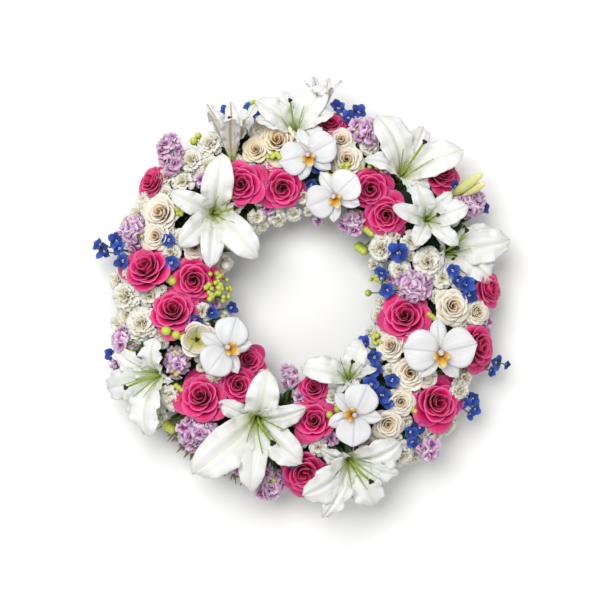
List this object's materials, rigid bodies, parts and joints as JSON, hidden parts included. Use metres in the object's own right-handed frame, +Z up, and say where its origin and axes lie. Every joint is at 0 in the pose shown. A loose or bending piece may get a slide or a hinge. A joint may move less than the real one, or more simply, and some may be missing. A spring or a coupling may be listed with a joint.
{
  "type": "floral wreath",
  "caption": "Round funeral wreath of lilies, roses, orchids, stock and small filler flowers, their stems set in a ring of floral foam on a shallow tray.",
  "frame": {"origin": "middle of the wreath's whole box, on the surface that its tray stands on", "axes": "+Z up out of the flowers' faces, +Y towards the top of the wreath, +X to its right"},
  "size_m": [0.5754, 0.5948, 0.1502],
  "materials": {
    "tray_plastic": "satin",
    "wet_foam": "matte",
    "rose_petal": "velvety",
    "lily_petal": "satin",
    "orchid_petal": "satin",
    "lisianthus_petal": "matte",
    "stock_petal": "matte",
    "cream_rose_petal": "matte",
    "carnation_petal": "matte",
    "delphinium_petal": "matte",
    "berry_skin": "glossy"
  },
  "bodies": {
    "root": {"base_tray": "tray_plastic", "carnation_01": "carnation_petal", "carnation_02": "carnation_petal", "carnation_03": "carnation_petal", "carnation_04": "carnation_petal", "cream_rose_01": "cream_rose_petal", "cream_rose_02": "cream_rose_petal", "cream_rose_03": "cream_rose_petal", "cream_rose_04": "cream_rose_petal", "cream_rose_05": "cream_rose_petal", "delphinium_01": "delphinium_petal", "delphinium_02": "delphinium_petal", "foam_ring": "wet_foam", "hypericum_01": "berry_skin", "lily_01": "lily_petal", "lily_02": "lily_petal", "lily_03": "lily_petal", "lily_04": "lily_petal", "lily_05": "lily_petal", "lily_06": "lily_petal", "lily_07": "lily_petal", "lily_08": "lily_petal", "lily_09": "lily_petal", "lily_10": "lily_petal", "lily_11": "lily_petal", "lisianthus_01": "lisianthus_petal", "orchid_01": "orchid_petal", "orchid_02": "orchid_petal", "orchid_03": "orchid_petal", "orchid_04": "orchid_petal", "orchid_05": "orchid_petal", "rose_01": "rose_petal", "rose_02": "rose_petal", "rose_03": "rose_petal", "rose_04": "rose_petal", "rose_05": "rose_petal", "rose_06": "rose_petal", "rose_07": "rose_petal", "rose_08": "rose_petal", "rose_09": "rose_petal", "rose_10": "rose_petal", "rose_11": "rose_petal", "rose_12": "rose_petal", "rose_13": "rose_petal", "rose_14": "rose_petal", "rose_15": "rose_petal", "rose_16": "rose_petal", "rose_17": "rose_petal", "rose_18": "rose_petal", "rose_19": "rose_petal", "rose_20": "rose_petal", "stock_01": "stock_petal", "stock_02": "stock_petal", "stock_03": "stock_petal", "stock_04": "stock_petal", "stock_05": "stock_petal", "stock_06": "stock_petal", "stock_07": "stock_petal", "stock_08": "stock_petal", "stock_09": "stock_petal"}
  },
  "joints": []
}
